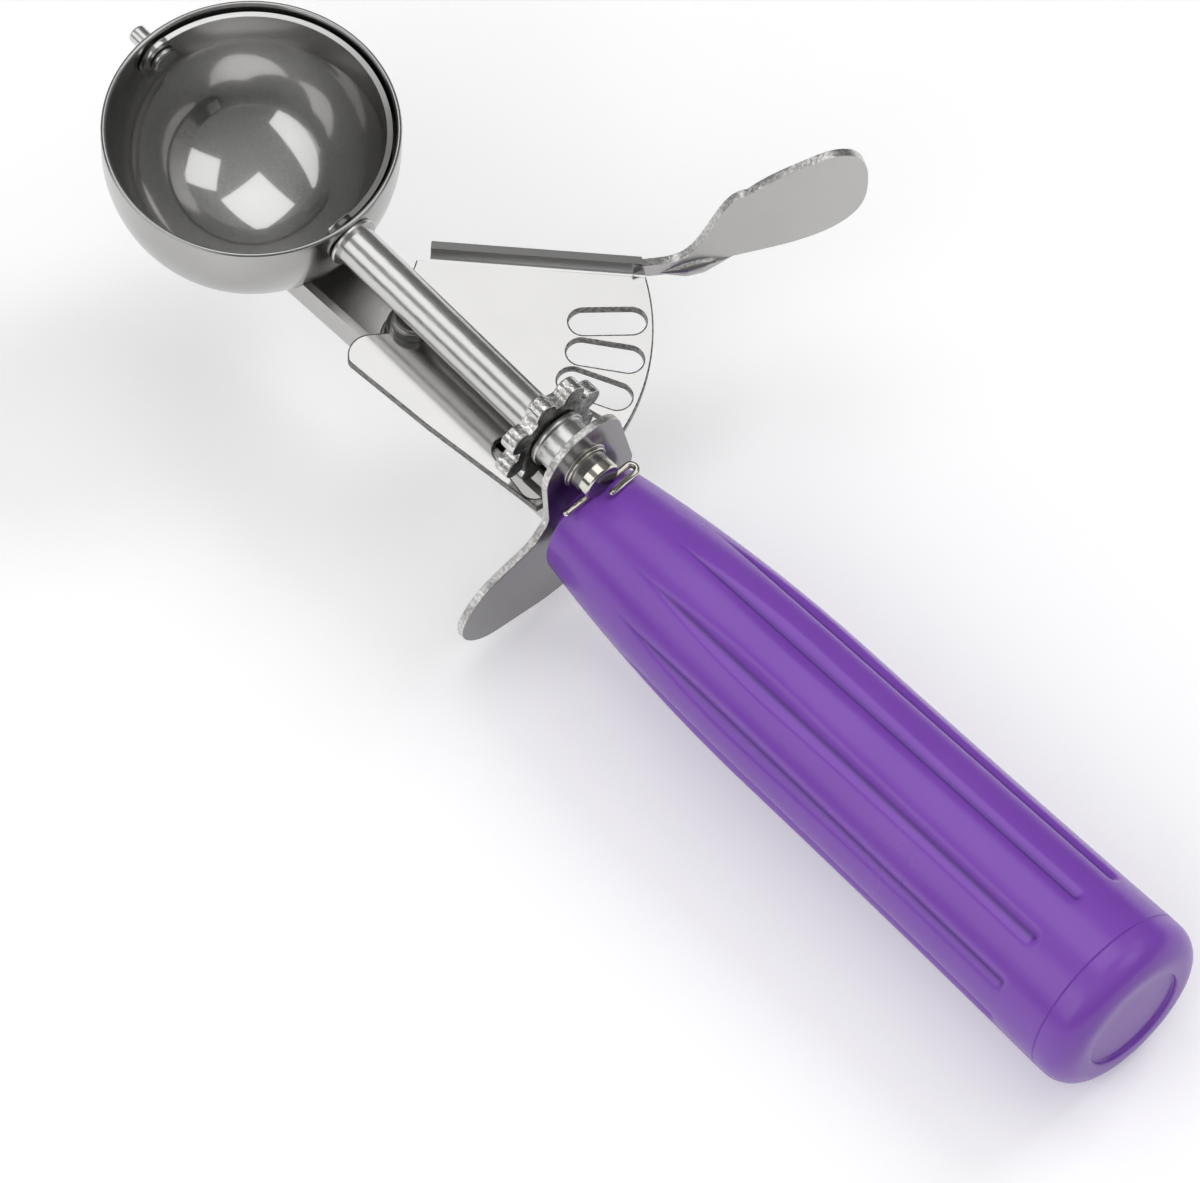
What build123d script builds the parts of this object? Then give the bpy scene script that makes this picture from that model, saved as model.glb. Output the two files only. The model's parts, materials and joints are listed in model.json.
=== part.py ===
# Portion scoop with a thumb lever: a slotted sector turns a pinion, and the pinion's shaft
# sweeps a blade round the inside of the bowl.
# X runs along the drive shaft from the bowl to the handle, Y to the thumb pad, Z up from the floor.
import os
from math import cos, hypot, pi, radians, sin, sqrt, tan
from build123d import *

os.makedirs("parts", exist_ok=True)

# Heights are measured from the drive shaft's axis, which lies SHAFT_Z above the finger rest's foot.
SHAFT_Z = 31.0
RUN = 0.05          # running clearance, on the radius or along an axis
WELD = 0.02         # weld gap between faces that meet
SHEET = 1.2         # pressed steel sheet

# bowl
BOWL_R = 21.0
BOWL_WALL = 0.8
RIM = 4.4

# blade and its far pin
BLADE_GAP = 0.5
BLADE_T = 0.8
BLADE_HALF = 3.3
TAB_R = 3.5
PIN_R = 1.4
PIN_OUT = 3.6
PIN_HEAD_R = 2.1
HEAD_T = 0.8

# drive shaft
SHAFT_R = 3.05
NOSE_R = 2.2
NOSE_WASHER_R = 3.9
NOSE_WASHER_T = 0.6
SQUARE = 3.0
SQUARE_HEAD = 4.0
WASHER_R = 3.45
WASHER_T = 0.4
STUB = 1.6
GROOVE_R = 2.75
SHAFT_TAIL = 0.5

# wire clip that sits still in the shaft's groove
CLIP_R = 0.5
CLIP_LEG = 5.6
CLIP_BEND = 0.8
CLIP_SIDE = 2.55
CLIP_BACK = 4.9
CLIP_LIFT = 1.35

# pinion, sector and lever: one tooth of the pinion for each slot of the sector
TEETH = 8
TOOTH_LEAD = 12.0
PINION_T = 2.5
PINION_ROOT = 6.0
PIVOT_X = 33.6
SLOT_R = 27.5
SLOT_L = 10.9
SLOT_IN = 0.3
SLOT_LAND = 0.55
SLOT_PITCH = 11.6
SLOTS = 6
TOOTH_SIDE = 0.3
TOOTH_SHORT = 0.1
TOOTH_FILLET = 0.5
PLATE_RISE = 0.2
SECTOR_RIM = 0.95
SECTOR_GAP = 0.3
LOBE_R = 10.6
LIP_START = 12.8
LIP_H = 2.9
LIP_BEND = 1.1
PAD_ANGLE = 64.4
PAD_REACH = 65.9
PAD_TOP = 19.6
CURL_R = 1.35
CURL_L = 11.2

# bearing bush and bracket
BUSH_FLANGE_R = 4.5
BUSH_FLANGE_T = 0.8
BUSH_R = 3.95
BUSH_NECK_R = 3.7
BRACKET_TOP = 8.3
REST_OUT = 23.2

# shank, lever post and return spring
SHANK_DEPTH = 7.35
SHANK_FRONT = 7.0
SHANK_REAR = 4.6
SHANK_GAP = 0.15
POST_R = 2.0
POST_HEAD_R = 3.0
POST_HEAD_T = 2.3
POST_NECK_R = 1.6
WIRE_R = 0.45
SPRING_LEG = 6.8
COIL_GAP = 0.65
COIL_PITCH = 1.4
COIL_TURNS = 2.5

# handle
GRIP_DROP = 12.35
GRIP_TILT = 3.2
GRIP_L = 102.3
GRIP_SPIGOT_R = 4.8
GRIP_FACE = 1.8
GRIP_ROUND = 0.4
GRIP_FRONT_R = 8.85
GRIP_NECK = 20.0
GRIP_NECK_R = 11.15
GRIP_MID = 45.0
GRIP_MID_R = 12.45
GRIP_REAR_R = 13.4
SEAM = 0.4
FLUTES = 10
FLUTE_PHASE = 9.0
FLUTE_SPLAY = 1.9
FLUTE_DEPTH = 0.9
FLUTE_START = 18.0
FLUTE_END = 7.3
CAP_STRAIGHT = 1.6
CAP_SINK = 0.6
CAP_L = 5.8
CAP_FACE_R = 9.3
CAP_RING_R = 7.9
SPIGOT_R = 6.95
SPIGOT_L = 6.0
STUD_R = 2.5
STUD_HEAD_R = 3.1
STUD_HEAD_T = 1.4
NUT_FLAT = 4.0
NUT_T = 4.2
CAVITY_L = 20.3

# places that follow from the sizes
INNER_R = BOWL_R - BOWL_WALL
BLADE_R = INNER_R - BLADE_GAP
BLADE_IN = BLADE_R - BLADE_T
PIN_SEAT = sqrt(BLADE_IN**2 - PIN_HEAD_R**2)
SQUARE_SEAT = sqrt(BLADE_IN**2 - (SQUARE_HEAD / 2) ** 2)
NOSE_X = BOWL_R + NOSE_WASHER_T
RATIO = 360 / TEETH / SLOT_PITCH
PITCH_R = SLOT_R / RATIO
SPREAD = 2 * sin(radians(SLOT_PITCH / 2))
SLOT_MID = SLOT_R - SLOT_IN
SLOT_W = (SPREAD * (SLOT_MID - SLOT_L / 2) - SLOT_LAND) / (1 - SPREAD / 2)
SLOT_LEAD = TOOTH_LEAD / RATIO
PLATE_TOP = -PITCH_R + PLATE_RISE
PLATE_LOW = PLATE_TOP - SHEET
TOOTH_R = SLOT_W / 2 - TOOTH_SIDE
TOOTH_C = PITCH_R - TOOTH_SHORT
SECTOR_R = SLOT_MID + SLOT_L / 2 + SECTOR_RIM
PINION_X = PIVOT_X + SLOT_R - PINION_T / 2
BRACKET_X = PIVOT_X + SECTOR_R + SECTOR_GAP
BRACKET_BACK = BRACKET_X + SHEET
BUSH_X = PINION_X + PINION_T + 0.3
WASHER_END = BRACKET_BACK + 2 * RUN + WASHER_T
GROOVE_X = WASHER_END + STUB
GROOVE_END = GROOVE_X + 2 * (CLIP_R + RUN)
CLIP_X = GROOVE_X + CLIP_R + RUN
CLIP_Z = -GROOVE_R - RUN - CLIP_R
SHAFT_END = GROOVE_END + SHAFT_TAIL
SHANK_TOP = PLATE_LOW - SHANK_GAP
SHANK_LOW = SHANK_TOP - SHANK_DEPTH
FLOOR = SHANK_LOW + SHEET
SHANK_NOSE = BOWL_R * 0.4
WALL_SLOPE = (SHANK_FRONT - SHANK_REAR) / (BRACKET_X - SHANK_NOSE)
WALL_IN = SHANK_FRONT - SHEET - WALL_SLOPE * (PIVOT_X + SPRING_LEG - SHANK_NOSE)
COIL_R = WALL_IN - WIRE_R - RUN
SPACER_R = COIL_R - WIRE_R - COIL_GAP
GRIP_X = BRACKET_BACK + 0.4
STUD_Z = -GRIP_DROP - (GRIP_X - BRACKET_X - SHEET / 2) * tan(radians(GRIP_TILT))
CAVITY = GRIP_L - CAVITY_L

AXIAL = Plane(origin=(0, 0, SHAFT_Z), x_dir=(0, 1, 0), z_dir=(1, 0, 0))
LEVEL = Plane.XY.offset(SHAFT_Z)
SIDE = Plane(origin=(0, 0, SHAFT_Z), x_dir=(1, 0, 0), z_dir=(0, -1, 0))
PIVOT = Plane(origin=(PIVOT_X, 0, SHAFT_Z), x_dir=(1, 0, 0), z_dir=(0, 0, 1))
GRIP_DIR = (cos(radians(GRIP_TILT)), 0, sin(radians(GRIP_TILT)))
GRIP = Plane(origin=(GRIP_X, 0, SHAFT_Z - GRIP_DROP), x_dir=(0, 1, 0), z_dir=GRIP_DIR)
GRIP_SIDE = Plane(origin=GRIP.origin, x_dir=GRIP_DIR, z_dir=(0, -1, 0))
GRIP_AXIS = Axis(GRIP.origin, GRIP_DIR)
RIB_OUT = GRIP.rotated((0, 0, FLUTE_PHASE + 180 / FLUTES)).x_dir
RIB_SIDE = Plane(origin=GRIP.origin, x_dir=GRIP_DIR, z_dir=Vector(*GRIP_DIR).cross(RIB_OUT))
UPRIGHT = (Align.CENTER, Align.CENTER, Align.MIN)


def rod(plane, start, end, r, mode=Mode.ADD):
    """A round bar along the plane's normal."""
    with Locations(plane.offset(start)):
        Cylinder(r, end - start, align=UPRIGHT, mode=mode)


def rounded(*corners):
    """A closed outline with its own radius at each corner."""
    ends = []
    for i, (x, y, r) in enumerate(corners):
        p = Vector(x, y)
        u = (Vector(*corners[i - 1][:2]) - p).normalized()
        v = (Vector(*corners[(i + 1) % len(corners)][:2]) - p).normalized()
        half = radians(u.get_angle(v) / 2)
        mid = (u + v).normalized()
        ends.append((p + u * (r / tan(half)), p + mid * (r / sin(half) - r), p + v * (r / tan(half)), r))
    for i, (first, middle, last, r) in enumerate(ends):
        if r:
            ThreePointArc(first, middle, last)
        Line(last, ends[(i + 1) % len(ends)][0])


def around(angle, r):
    """A point at an angle and radius from the lever's pivot."""
    return (PIVOT_X + r * cos(radians(angle)), r * sin(radians(angle)))


def arc_from(a, along, b):
    """The arc that leaves a in the given direction and ends at b."""
    chord = b - a
    reach = chord.normalized()
    side = along - reach * along.dot(reach)
    bulge = chord.length / 2 * tan(radians(along.get_angle(reach)) / 2)
    ThreePointArc(a, (a + b) * 0.5 + side.normalized() * bulge, b)


def half_turn(a, leave, b, arrive):
    """Two arcs that leave a and reach b in the given directions."""
    v, t = b - a, leave + arrive
    bend = 2 * (1 - leave.dot(arrive))
    d = (sqrt(v.dot(t) ** 2 + bend * v.dot(v)) - v.dot(t)) / bend
    joint = (a + leave * d + b - arrive * d) * 0.5
    arc_from(a, leave, joint)
    arc_from(joint, (b - arrive * d - a - leave * d).normalized(), b)


# bowl: half a sphere about the shaft's axis with a short straight collar up to the rim
with BuildPart() as bowl:
    with BuildSketch(SIDE):
        with BuildLine():
            CenterArc((0, 0), BOWL_R, -90, 90)
            Line((BOWL_R, 0), (BOWL_R, RIM))
            Line((BOWL_R, RIM), (INNER_R, RIM))
            Line((INNER_R, RIM), (INNER_R, 0))
            CenterArc((0, 0), INNER_R, -90, 90)
            Line((0, -INNER_R), (0, -BOWL_R))
        make_face()
    revolve(axis=Axis((0, 0, SHAFT_Z), (0, 0, 1)))
    fillet(bowl.edges().filter_by(GeomType.CIRCLE).group_by(Axis.Z)[-1], BOWL_WALL * 0.4)
    rod(AXIAL, INNER_R / 2, BOWL_R * 1.5, NOSE_R + RUN, Mode.SUBTRACT)
    rod(AXIAL, -BOWL_R * 1.5, -INNER_R / 2, PIN_R + RUN, Mode.SUBTRACT)

# sweep blade: a strip bent round the inside, with a round tab on each pivot
with BuildPart() as sweep_blade:
    with BuildSketch(LEVEL):
        with BuildLine():
            CenterArc((0, 0), BLADE_R, 0, 180)
            Line((-BLADE_R, 0), (-BLADE_IN, 0))
            CenterArc((0, 0), BLADE_IN, 0, 180)
            Line((BLADE_IN, 0), (BLADE_R, 0))
        make_face()
    extrude(amount=BLADE_HALF, both=True)
    rod(AXIAL, BLADE_IN, BLADE_R, TAB_R)
    rod(AXIAL, -BLADE_R, -BLADE_IN, TAB_R)
    rod(AXIAL, -BLADE_R - 1, -BLADE_IN / 2, PIN_R, Mode.SUBTRACT)
    with BuildSketch(AXIAL.offset(BLADE_IN / 2)):
        Rectangle(SQUARE, SQUARE)
    extrude(amount=BLADE_R, mode=Mode.SUBTRACT)

# far pin: riveted over inside the blade's tab, and turning in the bowl's wall
with BuildPart() as far_pin:
    rod(AXIAL, -BOWL_R - PIN_OUT, -PIN_SEAT, PIN_R)
    chamfer(far_pin.edges().group_by(Axis.X)[0], 0.3)
    rod(AXIAL, -PIN_SEAT, -PIN_SEAT + HEAD_T, PIN_HEAD_R)
    fillet(far_pin.edges().group_by(Axis.X)[-1], HEAD_T * 0.55)

# drive shaft: a round bar with a turned nose, a squared end and a groove for the clip
with BuildPart() as drive_shaft:
    rod(AXIAL, NOSE_X, SHAFT_END, SHAFT_R)
    chamfer(drive_shaft.edges().group_by(Axis.X)[-1], SHAFT_TAIL / 2)
    rod(AXIAL, BLADE_R + RUN, NOSE_X, NOSE_R)
    with BuildSketch(AXIAL.offset(SQUARE_SEAT)):
        Rectangle(SQUARE, SQUARE)
    extrude(amount=BLADE_R + RUN - SQUARE_SEAT)
    with BuildSketch(AXIAL.offset(SQUARE_SEAT)):
        Rectangle(SQUARE_HEAD, SQUARE_HEAD)
    extrude(amount=-HEAD_T)
    fillet(drive_shaft.edges().group_by(Axis.X)[0], HEAD_T / 2)
    rod(AXIAL, GROOVE_X, GROOVE_END, 2 * SHAFT_R, Mode.SUBTRACT)
    rod(AXIAL, GROOVE_X, GROOVE_END, GROOVE_R)

with BuildPart() as nose_washer:
    rod(AXIAL, BOWL_R + WELD, NOSE_X, NOSE_WASHER_R)
    rod(AXIAL, BOWL_R, NOSE_X, NOSE_R, Mode.SUBTRACT)

# pinion: rounded fingers that drop through the sector's slots
with BuildPart() as pinion:
    with BuildSketch(AXIAL.offset(PINION_X)) as wheel:
        Circle(PINION_ROOT)
        turns = [TOOTH_LEAD - 90 + 360 / TEETH * k for k in range(TEETH)]
        with Locations(*[Rot(0, 0, turn) * Pos(TOOTH_C / 2, 0) for turn in turns]):
            SlotCenterToCenter(TOOTH_C, 2 * TOOTH_R)
        fillet(wheel.vertices().filter_by(lambda v: hypot(v.X, v.Y) < PINION_ROOT + TOOTH_SHORT), TOOTH_FILLET)
        Circle(SHAFT_R, mode=Mode.SUBTRACT)
    extrude(amount=PINION_T)

with BuildPart() as bearing_bush:
    rod(AXIAL, BUSH_X, BUSH_X + BUSH_FLANGE_T, BUSH_FLANGE_R)
    rod(AXIAL, BUSH_X + BUSH_FLANGE_T, BRACKET_X, BUSH_R)
    rod(AXIAL, BRACKET_X, BRACKET_BACK + RUN, BUSH_NECK_R)
    rod(AXIAL, BUSH_X - 1, BRACKET_BACK + 1, SHAFT_R + RUN, Mode.SUBTRACT)

# bearing bracket: one upright pressing that runs down into the finger rest
with BuildPart() as bracket:
    with BuildSketch(AXIAL.offset(BRACKET_X)):
        with BuildLine():
            rounded((-7.7, BRACKET_TOP, 7.0), (-6.2, -9.0, 4.0), (-9.0, -12.6, 2.5), (4.6 - REST_OUT, -15.2, 9.0),
                    (-REST_OUT, -21.5, 6.0), (4.4 - REST_OUT, 2.7 - SHAFT_Z, 9.0), (-6.0, -SHAFT_Z, 6.0),
                    (5.5, -SHAFT_Z, 3.0), (8.6, -22.0, 5.0), (9.4, -8.2, 1.5), (5.6, BRACKET_TOP, 5.5))
        make_face()
        Circle(BUSH_NECK_R, mode=Mode.SUBTRACT)
        with Locations((0, STUD_Z)):
            Circle(STUD_R + 3 * RUN, mode=Mode.SUBTRACT)
    extrude(amount=SHEET)

with BuildPart() as retaining_washer:
    rod(AXIAL, BRACKET_BACK + 2 * RUN, WASHER_END, WASHER_R)
    rod(AXIAL, BRACKET_X, GROOVE_X, SHAFT_R + RUN, Mode.SUBTRACT)

# spring clip: wire that lies in the shaft's groove, turns back on itself and stays still as the shaft turns
with BuildPart() as spring_clip:
    with BuildLine() as clip_line:
        low = SHAFT_Z + CLIP_Z
        side = SHAFT_R + CLIP_SIDE
        back = CLIP_X + 2 * CLIP_BEND
        tip = Vector(back + CLIP_LIFT / 2, side - CLIP_BACK, low + CLIP_LIFT)
        Line((CLIP_X, -CLIP_LEG, low), (CLIP_X, side, low))
        ThreePointArc((CLIP_X, side, low), (CLIP_X + CLIP_BEND, side + CLIP_BEND, low), (back, side, low))
        Spline((back, side, low), tip, tangents=((0, -1, 0), (0.05, -1, 0.15)))
    with BuildSketch(Plane(origin=(CLIP_X, -CLIP_LEG, low), z_dir=(0, 1, 0))):
        Circle(CLIP_R)
    sweep(path=clip_line.line)
    with Locations((CLIP_X, -CLIP_LEG, low), tip):
        Sphere(CLIP_R)

# shank: a trough under the sector plate, welded to the bowl and to the bracket
with BuildPart() as shank:
    with BuildSketch(LEVEL.offset(SHANK_LOW)):
        Polygon((SHANK_NOSE, -SHANK_FRONT), (BRACKET_X, -SHANK_REAR), (BRACKET_X, SHANK_REAR),
                (SHANK_NOSE, SHANK_FRONT), align=None)
    extrude(amount=SHANK_DEPTH)
    fillet(shank.edges().group_by(Axis.Z)[0].filter_by(lambda e: e.length > BOWL_R), 2 * SHEET)
    with BuildSketch(LEVEL.offset(FLOOR)):
        Polygon((SHANK_NOSE, SHEET - SHANK_FRONT), (BRACKET_X, SHEET - SHANK_REAR), (BRACKET_X, SHANK_REAR - SHEET),
                (SHANK_NOSE, SHANK_FRONT - SHEET), align=None)
    extrude(amount=2 * SHANK_DEPTH, mode=Mode.SUBTRACT)
    with Locations((0, 0, SHAFT_Z)):
        Sphere(BOWL_R + WELD, mode=Mode.SUBTRACT)
    with Locations((BRACKET_X, 0, SHAFT_Z + FLOOR)):
        Box(2 * STUD_HEAD_T + 1, 2 * (SHANK_REAR - SHEET), 4 * SHEET, mode=Mode.SUBTRACT)
    rod(PIVOT, SHANK_LOW - 1, FLOOR + 1, POST_NECK_R, Mode.SUBTRACT)

# lever post: a shouldered rivet that carries the lever
with BuildPart() as lever_post:
    rod(PIVOT, PLATE_TOP + RUN, PLATE_TOP + RUN + POST_HEAD_T, POST_HEAD_R)
    fillet(lever_post.edges().group_by(Axis.Z)[-1], POST_HEAD_T * 0.3)
    rod(PIVOT, FLOOR, PLATE_TOP + RUN, POST_R)
    rod(PIVOT, SHANK_LOW, FLOOR, POST_NECK_R)
    rod(PIVOT, SHANK_LOW - 0.7, SHANK_LOW, POST_NECK_R * 1.5)

with BuildPart() as post_spacer:
    rod(PIVOT, FLOOR, PLATE_LOW - RUN, SPACER_R)
    rod(PIVOT, FLOOR - 1, PLATE_LOW, POST_R, Mode.SUBTRACT)

# return spring: one wire coiled round the spacer, its lower end along the shank's wall
# and its upper end turned up through the lever
climb = COIL_PITCH / (2 * pi * COIL_R)
coil_low = FLOOR + WIRE_R + RUN + SPRING_LEG * climb
quarters = int(COIL_TURNS * 4)
wire = []
for i in range(quarters + 1):
    a = radians(-90 - 90 * i)
    spot = Vector(PIVOT_X + COIL_R * cos(a), COIL_R * sin(a), SHAFT_Z + coil_low + COIL_PITCH * i / 4)
    wire.append((spot, Vector(sin(a), -cos(a), climb).normalized()))
end, out = wire[-1]
up = (Vector(0, 0, 1) - out * out.Z).normalized()
elbow = 3 * WIRE_R
lift = end + out * (COIL_R / 2) + out * elbow + up * elbow
with BuildPart() as return_spring:
    with BuildLine() as spring_line:
        Line(wire[0][0] - wire[0][1] * SPRING_LEG, wire[0][0])
        for (a, leave), (b, arrive) in zip(wire, wire[1:]):
            half_turn(a, leave, b, arrive)
        Line(end, end + out * (COIL_R / 2))
        arc_from(end + out * (COIL_R / 2), out, lift)
        Line(lift, lift + up * ((SHAFT_Z + PLATE_TOP + 0.6 - lift.Z) / up.Z))
    with BuildSketch(Plane(origin=wire[0][0] - wire[0][1] * SPRING_LEG, z_dir=wire[0][1])):
        Circle(WIRE_R)
    sweep(path=spring_line.line)
wire_path = spring_line.wires()[0]
points = [wire_path @ (i / 400) for i in range(401)]
apart = int(pi * COIL_R / wire_path.length * 400)
gap = min((p - q).length for i, p in enumerate(points) for q in points[i + apart:]) - 2 * WIRE_R
print("return spring: least gap between turns", round(gap, 2), "mm")

# thumb lever: slotted sector plate, turned-up lip and thumb pad in one pressing, curled under the pad's neck
with BuildPart() as thumb_lever:
    lip_end = around(PAD_ANGLE, SECTOR_R + 2.0)
    lip_start = around(PAD_ANGLE + 61.4, LIP_START)
    lip_dir = (Vector(*lip_end) - Vector(*lip_start)).normalized()
    lip_in = Vector(lip_dir.Y, -lip_dir.X)
    bend = LIP_BEND + SHEET
    fold_start, fold_end = Vector(*lip_start) + lip_in * bend, Vector(*lip_end) + lip_in * bend
    with BuildSketch(LEVEL.offset(PLATE_LOW)):
        with BuildLine():
            low_end = SLOT_LEAD - SLOT_PITCH - 3.0
            high_end = PAD_ANGLE - 3.4
            ThreePointArc(around(low_end, SECTOR_R), around((low_end + high_end) / 2, SECTOR_R),
                          around(high_end, SECTOR_R))
            Polyline(around(high_end, SECTOR_R), fold_end, fold_start, around(142, LOBE_R))
            ThreePointArc(around(142, LOBE_R), around(203, LOBE_R), around(264, LOBE_R))
            Polyline(around(264, LOBE_R), around(-34.5, 16.3), around(-17.7, 25.6), around(low_end, SECTOR_R))
        make_face()
        steps = [SLOT_LEAD + SLOT_PITCH * k for k in range(-1, SLOTS - 1)]
        with Locations(*[Pos(PIVOT_X, 0) * Rot(0, 0, angle) * Pos(SLOT_MID, 0) for angle in steps]):
            SlotOverall(SLOT_L, SLOT_W, mode=Mode.SUBTRACT)
        with Locations((PIVOT_X, 0)):
            Circle(POST_R + RUN, mode=Mode.SUBTRACT)
        with Locations((lift.X, lift.Y)):
            Circle(WIRE_R + 0.35, mode=Mode.SUBTRACT)
    extrude(amount=SHEET)
    far_end = Vector(*lip_end) + lip_dir * SHEET / 2
    fold_face = Plane(origin=(far_end.X, far_end.Y, SHAFT_Z + PLATE_LOW), x_dir=lip_in, z_dir=-lip_dir)
    with BuildSketch(fold_face):
        with BuildLine():
            CenterArc((bend, bend), bend, 180, 90)
            Polyline((0, bend), (0, LIP_H), (SHEET, LIP_H), (SHEET, bend))
            CenterArc((bend, bend), LIP_BEND, 180, 90)
            Line((bend, SHEET), (bend, 0))
        make_face()
    extrude(amount=(far_end - Vector(*lip_start)).length)
    with Locations(PIVOT.offset(PLATE_LOW - SHEET)):
        Cylinder(SECTOR_R, LIP_H + 2 * SHEET, align=UPRIGHT, mode=Mode.INTERSECT)
    pad_dir = Vector(cos(radians(PAD_ANGLE)), sin(radians(PAD_ANGLE)), 0)
    pad_face = Plane(origin=(PIVOT_X, 0, SHAFT_Z + PLATE_LOW), x_dir=pad_dir, z_dir=(pad_dir.Y, -pad_dir.X, 0))
    with BuildSketch(pad_face):
        with BuildLine():
            neck = SECTOR_R + 0.8
            root, low_end = neck - 2 * SHEET, PAD_REACH - 19.0
            knee = (PAD_REACH - 17.6, PAD_TOP - 4.9)
            Polyline((root, 0), (root, LIP_H))
            Spline((root, LIP_H), (neck + 1.6, 1.9), (neck + 4.6, 1.8), (neck + 7.0, 4.3), knee)
            Spline(knee, (PAD_REACH - 13.7, PAD_TOP - 2.4), (PAD_REACH - 9.3, PAD_TOP - 0.8), (PAD_REACH - 5.3, PAD_TOP),
                   (PAD_REACH - 2.4, PAD_TOP - 1.2), (PAD_REACH - 0.6, PAD_TOP - 4.4), (PAD_REACH, PAD_TOP - 8.9),
                   (PAD_REACH - 1.2, 3.6), (PAD_REACH - 3.9, 0.9), (PAD_REACH - 8.8, -0.7), (PAD_REACH - 14.4, -0.9),
                   (low_end, -0.7))
            Spline((low_end, -0.7), (neck + 9.0, -1.2), (neck + 5.0, -1.7), (neck + 1.6, -1.0), (root, 0))
        make_face()
    extrude(amount=SHEET / 2, both=True)
    curl_start = pad_face.from_local_coords((neck + 1.2, -0.6, 0.4 * SHEET))
    curl_end = pad_face.from_local_coords((neck + 1.2 + CURL_L, -0.9, 0.4 * SHEET))
    curl_dir = (curl_end - curl_start).normalized()
    with BuildPart(mode=Mode.PRIVATE) as curl:
        with BuildSketch(Plane(origin=curl_start, x_dir=curl_dir, z_dir=pad_face.z_dir)):
            Polygon((0, 0), (CURL_L * 0.36, CURL_R), (CURL_L * 0.6, CURL_R), (CURL_L, 0), align=None)
        revolve(axis=Axis(curl_start, curl_dir))
        fillet(curl.edges().filter_by(GeomType.CIRCLE), 2 * CURL_R)
    add(curl.part)

# handle: moulded grip on a stud, with long tapering flutes and a notch that holds the clip still
with BuildPart() as handle_body:
    with BuildSketch(RIB_SIDE):
        with BuildLine():
            edge = GRIP_FACE + GRIP_ROUND
            Polyline((-SHEET, 0), (-SHEET, GRIP_SPIGOT_R), (GRIP_FACE, GRIP_SPIGOT_R),
                     (GRIP_FACE, GRIP_FRONT_R - GRIP_ROUND))
            arc_from(Vector(GRIP_FACE, GRIP_FRONT_R - GRIP_ROUND), Vector(0, 1), Vector(edge, GRIP_FRONT_R))
            swell = ThreePointArc((edge, GRIP_FRONT_R), (GRIP_NECK, GRIP_NECK_R), (GRIP_MID, GRIP_MID_R))
            arc_from(swell @ 1, swell % 1, Vector(GRIP_L - SEAM, GRIP_REAR_R))
            Polyline((GRIP_L - SEAM, GRIP_REAR_R), (GRIP_L, GRIP_REAR_R - SEAM), (GRIP_L, 0), (-SHEET, 0))
        make_face()
    revolve(axis=GRIP_AXIS)
    flute_l = GRIP_L - FLUTE_END - FLUTE_START
    flute_in, flute_out = GRIP_NECK_R - FLUTE_DEPTH / 9, GRIP_REAR_R - FLUTE_DEPTH
    lean = (flute_out - flute_in) / flute_l
    starts = [GRIP.location * Rot(0, 0, FLUTE_PHASE + 360 / FLUTES * k) * Pos(flute_in, 0, FLUTE_START)
              * Rot(0, lean * 180 / pi, 0) for k in range(FLUTES)]
    deep, wide = 3 * FLUTE_DEPTH, 3 * FLUTE_DEPTH * FLUTE_SPLAY
    for start in starts:
        with BuildSketch(Plane(start)):
            Polygon((0, 0), (deep, -wide), (deep, wide), align=None)
        extrude(amount=flute_l, mode=Mode.SUBTRACT)
    with Locations(Plane(origin=(CLIP_X, -GRIP_FRONT_R, SHAFT_Z + CLIP_Z), z_dir=(0, 1, 0))):
        Cylinder(CLIP_R + RUN, 2 * GRIP_FRONT_R, align=UPRIGHT, mode=Mode.SUBTRACT)
    with Locations((BRACKET_BACK, 0, SHAFT_Z - GRIP_DROP)):
        Box(10, 4 * GRIP_REAR_R, 4 * GRIP_REAR_R, align=(Align.MAX, Align.CENTER, Align.CENTER), mode=Mode.SUBTRACT)
    rod(GRIP, -5, GRIP_L + 1, STUD_R + RUN, Mode.SUBTRACT)
    rod(GRIP, CAVITY, GRIP_L + 1, SPIGOT_R + RUN, Mode.SUBTRACT)

with BuildPart() as end_cap:
    with BuildSketch(GRIP_SIDE):
        with BuildLine():
            cap_end = GRIP_L + CAP_L
            Polyline((GRIP_L - SPIGOT_L, 0), (GRIP_L - SPIGOT_L, SPIGOT_R), (GRIP_L, SPIGOT_R),
                     (GRIP_L, GRIP_REAR_R - SEAM), (GRIP_L + SEAM, GRIP_REAR_R), (GRIP_L + CAP_STRAIGHT, GRIP_REAR_R))
            arc_from(Vector(GRIP_L + CAP_STRAIGHT, GRIP_REAR_R), Vector(1, 0), Vector(cap_end, CAP_FACE_R))
            Polyline((cap_end, CAP_FACE_R), (cap_end, CAP_RING_R + SEAM / 2), (cap_end - CAP_SINK, CAP_RING_R - SEAM / 2),
                     (cap_end - CAP_SINK, 0), (GRIP_L - SPIGOT_L, 0))
        make_face()
    revolve(axis=GRIP_AXIS)

# stud, washer and nut that hold the handle against the bracket
with BuildPart() as grip_stud:
    with Locations(Plane(origin=(BRACKET_X - STUD_HEAD_T, 0, SHAFT_Z + STUD_Z), x_dir=(0, 1, 0), z_dir=(1, 0, 0))):
        Cylinder(STUD_HEAD_R, STUD_HEAD_T, align=UPRIGHT)
    rod(GRIP, -2.2, CAVITY + 10, STUD_R)

with BuildPart() as stud_washer:
    rod(GRIP, CAVITY, CAVITY + SHEET, SPIGOT_R - 0.6)
    rod(GRIP, CAVITY - 1, CAVITY + 3, STUD_R + RUN, Mode.SUBTRACT)

with BuildPart() as stud_nut:
    with BuildSketch(GRIP.offset(CAVITY + SHEET)):
        RegularPolygon(NUT_FLAT, 6, major_radius=False)
        Circle(STUD_R, mode=Mode.SUBTRACT)
    extrude(amount=NUT_T)

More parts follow.
